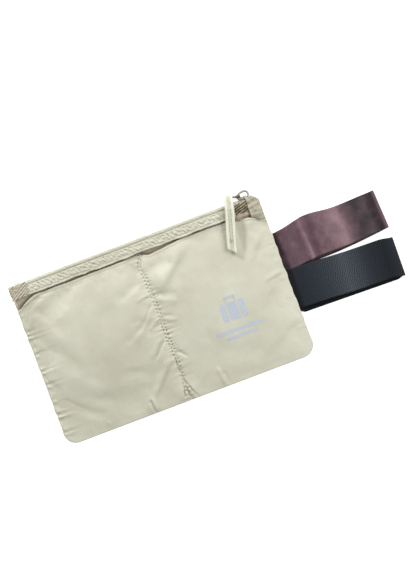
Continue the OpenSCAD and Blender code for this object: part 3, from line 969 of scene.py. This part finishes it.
def facing_shift(x, y, z):
    """Waves of the lip, diagonal stitch dimples in the field, and a crumpled outer roll that ends last."""
    up = y - BAND_LOW_Y
    x = x + smooth((x - 55) / 23) * (4.6 * smooth((up - 7.2) / 0.8) - 2.6)
    on_top = z > BAND_TOP - 0.6
    field = smooth((up - 1.6) / 0.8) * smooth((7.2 - up) / 0.8) * on_top
    roll = smooth((up - 7.7) / 0.6) * on_top
    lip = smooth((1.5 - up) / 0.5)
    turns = (x + 0.75 * up) / 2.9 + 0.55 * noise(x, y * 0.5, 8, 81)
    dimple = -np.clip(wave(turns), -0.2, 1) * (0.55 + 0.55 * noise(x, y, 3, 82))
    z = z + field * (0.95 * dimple + 0.45 * noise(x, y, 1.5, 83))
    z = z + roll * (0.20 * noise(x, y, 1.5, 84) + 0.14 * wave(x / 1.9))
    y = y + lip * (0.50 * noise(x, 0, 7, 85) + 0.1 * noise(x, 0, 2.2, 86)) + 0.2 * noise(x, 0, 18, 87)
    return x, y, z + lip * 0.12 * noise(x, 0, 4, 88) - end_drop(x)


def end_drop(x):
    """How far the zip band comes down towards the left side seam."""
    return 1.5 * smooth((-HALF_W + 13 - x) / 13)


def make_zip_cloth():
    """Facing, end tab, corner fold and both tapes. Those that carry stitches are returned."""
    facing_xs = np.linspace(-HALF_W, BAND_RIGHT, 290)
    facing = band("zip_facing_cloth", facing_xs, facing_section(), POUCH, facing_shift)
    finish_cloth(facing, "zip_facing")
    tab_section = [
        (50.6, 7.2), (50.5, 7.7), (51.0, 8.05), (53, 8.1), (56, 8.1), (58.3, 7.95), (59.9, 7.7), (60.1, 7.2),
    ]
    tab_xs = np.linspace(-HALF_W - 0.3, box_mm("zip_end_tab")[1].x + 1.6, 70)
    tab = band("zip_end_tab_cloth", tab_xs, rounded(tab_section), TAB_TAPE, end_tab_shift)
    finish_cloth(tab, "zip_end_tab")
    make_corner_fold()
    return facing, tab, make_tapes()


def end_tab_shift(x, y, z):
    """Coarse slanting threads, and edges that turn down."""
    inward = x + HALF_W
    ends = 0.45 * (smooth((0.9 - inward) / 1.2) + smooth((inward - 12.6) / 0.8))
    slanting = wave((x * 0.45 - y * 0.89 + 0.5 * noise(x, y, 3, 92)) / 1.9)
    ribs = 0.30 * slanting + 0.22 * noise(x, y, 1.2, 91)
    frayed = 0.5 * noise(y, 0, 1.3, 90) * smooth((2 - inward) / 2)
    lower_edge = 0.5 * smooth((53 - y) / 2) * smooth((12 - inward) / 12)
    return x + np.maximum(frayed, -0.2), y - lower_edge, z + ribs - 1.3 * ends - end_drop(x)


# Creases of the cloth over the zip's closed end: start, end, width and height
CORNER_FOLDS = [
    ((84, 55.2), (95, 56.8), 1.3, -0.60), ((86, 57.5), (94, 59), 1.0, 0.40),
    ((87.5, 60.5), (91.0, 54), 0.9, -0.45), ((92.6, 60), (93.2, 50), 0.9, -0.45),
    ((84, 51.0), (95, 53.6), 1.0, -0.50), ((86, 52.8), (95, 54.6), 1.2, 0.50),
    ((85, 48.8), (95, 48.0), 1.0, -0.45), ((88, 56), (90, 49), 0.8, 0.35),
]


def make_corner_fold():
    """Pale crumpled cloth over the closed end of the zip, with its corner cut off."""
    low, high = box_mm("zip_corner_fold")
    xs = np.linspace(low.x - 1.3, high.x, 42)
    v = np.linspace(0, 1, 46)[:, None]
    top = np.minimum(CHAIN_TOP_Y - 0.15, CHAIN_TOP_Y + HALF_W - 4.6 - xs)
    bottom = MOUTH_Y - 7.5 + 3.2 * smooth((high.x - 3 - xs) / 6)
    y = bottom + (top - bottom) * v
    x = xs + 0.45 * noise(y, 0, 3.5, 93)
    side = HALF_W - x
    z = 6.7 + 0.9 * smooth(side / 4) - 1.6 * fade(side, 1.2) - 1.5 * smooth((MOUTH_Y - 1 - y) / 6)
    z = z - 0.5 * fade(np.minimum(v, 1 - v), 0.03) + 0.24 * noise(x, y, 2.6, 94)
    for crease in CORNER_FOLDS:
        z = z + fold(x, y, *crease)
    # The corner's cloth is the pouch cloth darkened as painted shade
    piece = cloth_object("zip_corner_fold_cloth", x, y, z, SHADED_FOLD_CLOTH)
    finish_cloth(piece, "zip_corner_fold")


def make_tapes():
    """The woven tapes that carry the coils, with their turned edges. The front one is returned."""
    edge = CHAIN_LOW_Y
    xs = np.linspace(-HALF_W + 0.3, HALF_W - 4.4, 320)
    front = band("zip_front_tape_cloth", xs, rounded([
        (MOUTH_Y + 1.2, 5.55), (MOUTH_Y + 2.4, 5.9), (MOUTH_Y + 4, 6.25), (edge - 1.5, 6.35),
        (edge - 0.3, 6.2), (edge - 0.15, 5.5), (edge - 0.2, CHAIN_Z + 0.8),
    ]), SHADED_TAPE, tape_ribs)
    finish_cloth(front, "zip_front_tape")
    back = band("zip_back_tape_cloth", xs, rounded([
        (MOUTH_Y - 3, 0.85), (MOUTH_Y + 3, 0.85), (MOUTH_Y + 6.5, 0.5), (edge - 1.2, 0.35),
        (edge - 0.3, 0.5), (edge - 0.15, 1.2), (edge - 0.2, CHAIN_Z - 0.8),
    ]), TAPE, tape_ribs)
    finish_cloth(back, "zip_back_tape")
    return front


def tape_ribs(x, y, z):
    """Raised cords of the tape's weave along its length, crossed by slanting threads."""
    return x, y, np.maximum(z + 0.07 * wave(y / 1.25) * wave((x + 0.5 * y) / 1.7), 0.32)


def coil(node, winding):
    """One half of the chain: a wound monofilament along the tape's edge. winding is 1 or -1."""
    low, high = box_mm(node)
    pitch, points_per_turn, wire = 1.15, 9, 0.24
    count = int((high.x - low.x - 0.5) / pitch) * points_per_turn
    t = np.arange(count + 1) / points_per_turn
    middle = (low + high) / 2
    reach = (high - low) / 2 - Vector((wire,) * 3)
    x = low.x + 0.3 + t * pitch + 0.12 * wave(2 * t)
    y = middle.y + reach.y * np.cos(TURN * t)
    z = middle.z + winding * reach.z * wave(t)
    piece = new_object(node + "_teeth", *tube(np.stack([x, y, z], 1), wire, 6), COIL)
    belongs(piece, node)


def clip(name, node):
    """A metal clip pinched round both halves of the chain."""
    low, high = box_mm(node)
    section = rounded([
        (59.9, low.z - 0.1), (60.9, low.z - 0.05), (61.3, low.z + 0.6), (61.35, CHAIN_Z),
        (61.3, high.z - 0.6), (60.9, high.z + 0.05), (59.9, high.z + 0.1),
    ])
    xs = low.x + (high.x - low.x) * np.array([0, 0.08, 0.32, 0.5, 0.68, 0.92, 1])
    pinch = np.array([0.16, 0, 0, 0.14, 0, 0, 0.16])
    piece = band(name, xs, section, METAL, lambda x, y, z: (x, y - pinch, z))
    thicken(piece, 0.35, 1.0)
    belongs(piece, node)


def make_band_stitching(facing, tab, front_tape):
    """Two rows along the facing, two dark rows on the bare tape, and the row that holds the back tape."""
    right = BAND_RIGHT - 1.5
    rows = []
    for y, pitch, seed in ((BAND_LOW_Y + 1.9, 3.0, 7), (BAND_LOW_Y + 6.5, 3.3, 8)):
        line = [(-HALF_W + 13, y), (right, y)]
        rows += stitch_row(Surface(facing, tab), line, pitch, 0.6, 0.16, 0.09, 0.12, seed)
    finish_thread("zip_front_thread", rows, THREAD, "zip_front_stitching")
    ends = []
    for y in (53.4, 54.9):
        line = [(right - 0.6, y), (right + 9.5, y)]
        ends += stitch_row(Surface(front_tape), line, 1.7, 0.66, 0.28, 0.14, 0.1, 12)
    finish_thread("zip_end_thread", ends, DARK_THREAD, "zip_front_stitching")
    row = stitch_row(Flat(1.25), [(-HALF_W + 6, MOUTH_Y - 1), (HALF_W - 8, MOUTH_Y - 1)], 3.2)
    finish_thread("zip_back_thread", row, THREAD, "zip_back_stitching")


# ---- Slider, ring and puller ----


def prism(outline, low, high, axis):
    """Points and faces of an outline pushed from low to high along an axis (0 is X, 1 is Y, 2 is Z)."""
    count = len(outline)
    points = [np.insert(corner, axis, level) for level in (low, high) for corner in outline]
    faces = [tuple(range(count))[::-1], tuple(range(count, 2 * count))]
    for i in range(count):
        k = (i + 1) % count
        faces.append((i, k, count + k, count + i))
    return points, faces


def make_slider():
    """Two shield-shaped plates joined by a neck, side flanges, and the arched bridge."""
    low, high = box_mm("slider_body")
    middle = (low.z + high.z) / 2
    half = (high.z - low.z) / 2
    tail, nose, top_y = low.x, high.x, CHAIN_TOP_Y + 0.3
    side = [
        (tail + 0.3, half - 0.5), (tail + 0.9, half), (nose - 3.2, half), (nose - 1.0, half * 0.72),
        (nose, half * 0.4),
    ]
    shield = [(x, middle - z) for x, z in side] + [(x, middle + z) for x, z in side[::-1]]
    parts = [prism(shield, y, y + 0.9, 1) for y in (top_y, low.y)]
    flange = [
        (tail + 0.7, top_y + 0.2), (nose - 3.4, top_y + 0.2), (nose - 3.8, top_y - 0.95),
        (tail + 1.1, top_y - 0.95),
    ]
    parts += [prism(flange, edge, edge + 0.4, 2) for edge in (low.z, high.z - 0.4)]
    neck = [(nose - 1.6, low.y + 0.5), (nose - 0.5, low.y + 0.5)]
    neck += [(nose - 0.5, top_y + 0.3), (nose - 1.6, top_y + 0.3)]
    parts.append(prism(neck, CHAIN_Z - 0.22, CHAIN_Z + 0.22, 2))
    arch = rounded([
        (tail + 1.4, top_y + 0.6), (tail + 1.5, top_y + 2.0), (tail + 2.3, top_y + 3.6),
        (tail + 4.3, high.y - 0.85), (nose - 2.2, high.y - 0.95), (nose - 0.6, high.y - 2.1),
        (nose - 0.2, top_y + 0.6),
    ], 7)
    for name, shape, material, edge in (
        ("slider_plates", join(parts), METAL, (0.16, 2)),
        ("slider_bridge", ribbon(arch, 1.6, 1.5, CHAIN_Z), METAL, (0.22, 3)),
        # The bridge's thick left root is darker metal: painted shade at its left leg
        ("slider_bridge_root", ribbon(arch[:13], 3.0, 2.2, CHAIN_Z), DARK_METAL, (0.4, 3)),
    ):
        piece = new_object(name, *shape, material)
        bevel(piece, *edge)
        belongs(piece, "slider_body", "slider")


def ribbon(path, thick, wide, middle):
    """A bar of rectangular section along a path of (x, y) points, centred on a height."""
    direction = np.gradient(path, axis=0)
    direction /= np.linalg.norm(direction, axis=1)[:, None]
    normal = np.stack([-direction[:, 1], direction[:, 0]], 1) * thick / 2
    points = []
    for place, out in zip(path, normal):
        for sign, z in ((1, wide / 2), (1, -wide / 2), (-1, -wide / 2), (-1, wide / 2)):
            points.append((*(place + sign * out), middle + z))
    last = 4 * (len(path) - 1)
    ends = [(3, 2, 1, 0), (last, last + 1, last + 2, last + 3)]
    return points, grid_faces(len(path), 4, wrap=True) + ends


PIVOT = joint_mm("tab_swing")[0]
BAR, BAR_AXIS = joint_mm("puller_flop")
TAB_X = np.array([-BAR_AXIS.x, -BAR_AXIS.y, 0.0])
TAB_Y = np.array([-TAB_X[1], TAB_X[0], 0.0])
RING_Z = BAR.z - PIVOT.z


def from_tab(points):
    """Places points given in the pull tab's frame: its pin is the origin and it points along -X."""
    axes = np.array([TAB_X, TAB_Y, (0, 0, 1)])
    return list(np.array(PIVOT) + np.asarray(points, float) @ axes)


def tapered(path, radii, sides=12):
    """A round bar along a straight path, with its own radius at each point."""
    points, faces = tube(path, 1.0, sides)
    centres = np.repeat(path, sides, axis=0)
    return centres + (points - centres) * np.repeat(radii, sides)[:, None], faces


def make_ring():
    """The open wire ring that carries the puller, with its pin through the bridge."""
    tall, bend = RING_Z, 0.7
    near, far = -bend, -RING_LENGTH + bend
    corners = []
    low, high = -tall + bend, tall - bend
    for x, z, first in ((near, low, 270), (near, high, 0), (far, high, 90), (far, low, 180)):
        for angle in np.radians(np.linspace(first, first + 90, 6)):
            corners.append(np.array([x + bend * math.cos(angle), 0, z + bend * math.sin(angle)]))
    path = []
    for a, b in zip(corners, corners[1:] + corners[:1]):
        steps = max(1, int(np.linalg.norm(b - a) / 0.8))
        path += [a + (b - a) * i / steps for i in range(steps)]
    parts = [tube(from_tab(path), 0.43, 12, closed=True)]
    for height in (-tall, tall):
        knuckle = [(x, 0, height) for x in np.linspace(0.42, -3.6, 12)]
        parts.append(tapered(from_tab(knuckle), [0.3, 0.66] + [0.74] * 6 + [0.7, 0.62, 0.52, 0.44]))
    belongs(new_object("pull_ring", *join(parts), DARK_METAL), "pull_tab", "pull_tab")


def finish_puller(name, rows, uv, width, thickness, offset, area=None):
    """One layer of the puller: a grid of points in the pull tab's frame, made into cloth with a thickness and
    hung on the puller.
    """
    piece = new_object(name, from_tab(rows), grid_faces(len(rows) // width, width), STRIP)
    add_uv(piece, np.array(uv))
    finish_cloth(
        piece, "puller_strip", area=area, thickness=thickness, offset=offset,
        body="puller",
    )
    return piece


def make_puller(top):
    """A strip folded over the ring: two raised edges, a sunken stitched middle and a slanting cut end."""
    path = rounded([
        (0.72, RING_Z + 0.9), (0.3, RING_Z + 2.6), (-1.2, top - 1.8), (-4.5, top - 0.7), (-8.5, top + 0.1),
        (-13, top + 0.3), (-20, top + 0.1), (-27, top + 0.35), (-33, top + 0.15), (-PULLER_LENGTH, top + 0.1),
    ])
    us = np.linspace(-1, 1, 25)
    rows = []
    uv = []
    travelled = 0.0
    for i, place in enumerate(path):
        travelled += math.dist(place, path[max(i - 1, 0)])
        before, after = path[max(i - 1, 0)], path[min(i + 1, len(path) - 1)]
        slope = (after - before) / math.dist(after, before)
        normal = np.array([slope[1], -slope[0]])
        if normal[1] < -0.05 or normal[1] <= 0 and normal[0] <= 0:
            normal = -normal
        widen = 0.9 + 0.1 * smooth((travelled - 3) / 8) + 0.02 * math.sin(travelled / 3.1)
        sway = 0.35 * math.sin(travelled / 7.5) * smooth(travelled / 15)
        for u in us:
            side = abs(u)
            edge = 0.42 * bell(side - 0.76, 0.17) - 0.55 * smooth((side - 0.88) / 0.12)
            rumple = 0.10 * noise(travelled, u * 3, 3.0, 95) * (side < 0.7)
            slant = 1.7 * u * smooth((travelled - 30) / 12)
            y, z = place + normal * (edge - 0.16 * bell(side, 0.42, 4) + rumple) + slope * slant
            rows.append((PULLER_X + u * PULLER_HALF * widen + sway, y, z))
            uv.append((u * PULLER_HALF, travelled))
    return finish_puller("puller_cloth", rows, uv, len(us), 0.45, -1.0)


def make_puller_back(top):
    """The strip's lower layer: it goes round the ring and lies under the upper one."""
    reach = 0.86
    angles = np.radians(np.linspace(20, -200, 12))
    around = [(reach * math.cos(angle), RING_Z + reach * math.sin(angle)) for angle in angles]
    path = rounded(around + [
        (-0.75, RING_Z + 1.2), (-1.1, RING_Z + 2.3), (-2.2, top - 2.2), (-5, top - 1.35), (-9, top - 0.65),
        (-14, top - 0.45), (-24, top - 0.45), (-PULLER_LENGTH + 1.5, top - 0.45),
    ], 3)
    us = np.linspace(-1, 1, 13)
    rows = [(PULLER_X + u * (PULLER_HALF - 0.35), y, z + 0.12 * u * u) for y, z in path for u in us]
    uv = [(u * 3, k * 0.7) for k in range(len(path)) for u in us]
    finish_puller("puller_cloth_back", rows, uv, len(us), 0.3, 0.0, area=260)


def make_puller_stitching(upper):
    """One dotted row down the groove on each side, and a dark cross row near the cut end."""
    top = Surface(upper)

    def row(start, end, *look):
        return stitch_row(top, [place[:2] for place in from_tab([(*start, 0), (*end, 0)])], *look)

    rows = []
    for x in (PULLER_X - 0.95, PULLER_X + 0.95):
        rows += row((x, -9), (x, -35), 2.0, 0.55, 0.14, 0.07, 0.08, 9)
    for y in (-31.5, -32.6):
        rows += row((PULLER_X - 1.5, y), (PULLER_X + 1.5, y + 0.8), 0.9, 0.7, 0.16, 0.1)
    finish_thread("puller_thread", rows, PULLER_THREAD, "puller_stitching", "puller")


# ---- Belt loops ----


def loop_section():
    """(s, z, layer) round a loop: out along its upper layer, round the fold, back along the lower."""
    top, end = 5.15, LOOP_LENGTH
    upper = [(-3.2, 1.45), (-1.2, 1.5), (1.2, 1.75), (4, 2.8), (8.5, 4.2), (13.5, 4.95), (20, top)]
    upper += [(s, top) for s in np.arange(26, end - 4, 6)]
    turn = [(end - 1.6, top - 0.25), (end - 0.35, top - 1.5), (end - 0.3, 1.9), (end - 1.5, 0.75)]
    lower = [(s, 0.5) for s in np.arange(end - 6, 8, -6)]
    lower += [(4, 0.55), (1.2, 0.62), (-1.2, 0.72), (-3.2, 0.78)]
    layers = ((upper, 1.0), (turn, 0.5), (lower, 0.0))
    return rounded([(s, z, layer) for points, layer in layers for s, z in points], 6)


def make_loop(node, material, upper_shift, lower_shift, lift):
    """One belt loop, bent where it leaves the seam. Returns the place where it is sewn in.
    The shifts move its layers sideways, and lift raises the upper one."""
    root, axis = joint_mm(node + "_fold")
    along = np.array([abs(axis.y), -axis.x * (1 if axis.y > 0 else -1), 0.0])
    across = np.array([-along[1], along[0], 0.0])
    us = np.linspace(-1, 1, 31)
    section = loop_section()
    steps = np.linalg.norm(np.diff(section[:, :2], axis=0), axis=1)
    travelled = np.concatenate([[0], np.cumsum(steps)])
    points = []
    for s, z, layer in section:
        layer = min(max(layer, 0.0), 1.0)
        inside = smooth((s - 2) / 9) * smooth((LOOP_LENGTH - 2 - s) / 8)
        for u in us:
            shift = upper_shift(s, u) * layer + lower_shift(s) * (1 - layer)
            place = np.array(root) + along * s + across * (u * LOOP_HALF + shift)
            edge = 0.14 * fade(1 - abs(u), 0.035) * (2 * layer - 1)
            points.append((*place[:2], max(z + edge + lift(s, u) * layer * inside, 0.42)))
    piece = new_object(node + "_webbing", points, grid_faces(len(section), len(us)), material)
    add_uv(piece, np.array([(u * LOOP_HALF, length) for length in travelled for u in us]))
    thicken(piece, 0.7, 0.0)
    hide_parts(node)
    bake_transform(piece)
    return root


def satin_lift(s, u):
    """A soft roll, a sharp crease a quarter of the way along, and a sag towards the fold."""
    crease = 0.8 * bell(s - 20.0 - u, 1.1) - 0.7 * bell(s - 24.0 - u, 2.4)
    return crease + 1.9 * wave((s - 34) / 66) - 0.15 * u


def elastic_lift(s, u):
    """A low, stiff bow."""
    return 0.45 * wave((s - 12) / 84) + 0.1 * math.sin(s / 6.0 + u)


def satin_upper(s, u):
    """The upper layer bows sideways over its crease, most at its upper edge."""
    return 3.2 * (0.62 + 0.38 * u) * bell(s - 25, 14) * smooth((s + 3) / 6)


def elastic_upper(s, u):
    """The upper layer leans against the satin loop near its root."""
    return 0.4 + 1.0 * smooth((46 - s) / 30)


def elastic_lower(s):
    """The lower layer shows along the lower edge."""
    return -2.2 * smooth((s + 3) / 5)


def satin_lower(s):
    """The lower layer bows sideways, and not at its two ends."""
    return -1.6 * math.sin(math.pi * min(max(s / LOOP_LENGTH, 0), 1))


def make_loops():
    """Both webbing loops and the bartacks that hold them."""
    half_row = 13.4
    roots = (
        make_loop("satin_loop", SATIN, satin_upper, satin_lower, satin_lift),
        make_loop("elastic_loop", ELASTIC, elastic_upper, elastic_lower, elastic_lift),
    )
    for kind, material, root in zip(("satin", "elastic"), (SATIN_THREAD, ELASTIC_THREAD), roots):
        rows = []
        for x in (HALF_W - 1.6, HALF_W - 2.4):
            line = [(x, root.y - half_row), (x, root.y + half_row)]
            rows += stitch_row(Flat(1.95), line, 1.6, 0.7, 0.14, 0.05)
        finish_thread(kind + "_bartack_thread", rows, material, kind + "_bartack")


# ---- Print and inner bindings ----


def patch(x0, x1, y0, y1, radius):
    """A grid over a rectangle with rounded corners, as (x, y) points and faces."""
    step = 0.5
    half = (x1 - x0) / 2
    radius = min(radius, half, (y1 - y0) / 2)
    turns = np.linspace(0, math.pi, max(8, int((x1 - x0) / step) + 6))
    xs = x0 + half * (1 - np.cos(turns))
    over = np.clip(np.abs(xs - x0 - half) - (half - radius), 0, radius)
    cut = radius - np.sqrt(np.maximum(radius**2 - over**2, 0))
    v = np.linspace(0, 1, max(4, int((y1 - y0) / step) + 2))[:, None]
    y = (y0 + cut) + (y1 - y0 - 2 * cut) * v
    return np.stack([np.broadcast_to(xs, y.shape), y], -1).reshape(-1, 2), grid_faces(*y.shape)


def make_emblem(pocket):
    """A plain suitcase sign over two bars, printed on the pocket."""
    top = Surface(pocket)
    centre_x, centre_y = 50, -12
    parts = []
    for x0, x1, y0, y1, radius in (
        (-9, -4.9, -6, 7, 1.4), (-3.7, 3.7, -6, 7, 0.3), (4.9, 9, -6, 7, 1.4),
        (-4, -2.4, 7.5, 11, 0.5), (2.4, 4, 7.5, 11, 0.5), (-4, 4, 9.9, 11.4, 0.7),
        (-18, 18, -14.2, -11.8, 1.1), (-12, 12, -18.8, -16.6, 1.1),
    ):
        flat, faces = patch(centre_x + x0, centre_x + x1, centre_y + y0, centre_y + y1, radius)
        parts.append(([(x, y, top.z(x, y) + 0.1) for x, y in flat], faces))
    belongs(new_object("printed_emblem_ink", *join(parts), INK), "printed_emblem")


def make_bindings():
    """Folded tape over the raw edges of the seams inside the pouch."""
    us = np.linspace(-1, 1, 9)
    for seam, length_axis in (("left", 1), ("right", 1), ("bottom", 0)):
        node = seam + "_seam_binding"
        low, high = box_mm(node)
        across = 1 - length_axis
        middle = (low[across] + high[across]) / 2
        ts = np.linspace(low[length_axis], high[length_axis], 70)
        points = []
        for t in ts:
            for u in us:
                place = [middle + u * 2.9, 0.95 + 0.22 * (1 - u**4) + 0.05 * math.sin(t / 2.3 + u)]
                place.insert(length_axis, t)
                points.append(place)
        piece = new_object(node + "_tape", points, grid_faces(len(ts), len(us)), BINDING)
        length = high[length_axis] - low[length_axis]
        finish_cloth(piece, node, area=6 * length, thickness=0.25)


# ---- Build ----

make_camera()
make_stage()
pocket_cloth = make_panels()
make_pouch_stitching(pocket_cloth)
make_emblem(pocket_cloth)
make_band_stitching(*make_zip_cloth())
coil("zip_front_coil", 1)
coil("zip_back_coil", -1)
clip("zip_bottom_clip", "zip_bottom_stop")
clip("zip_top_clip", "zip_top_stop")
make_slider()
make_ring()
strip_top = box_mm("puller_strip")[1].z - PIVOT.z - 0.5
puller_cloth = make_puller(strip_top)
make_puller_back(strip_top)
make_puller_stitching(puller_cloth)
make_loops()
make_bindings()
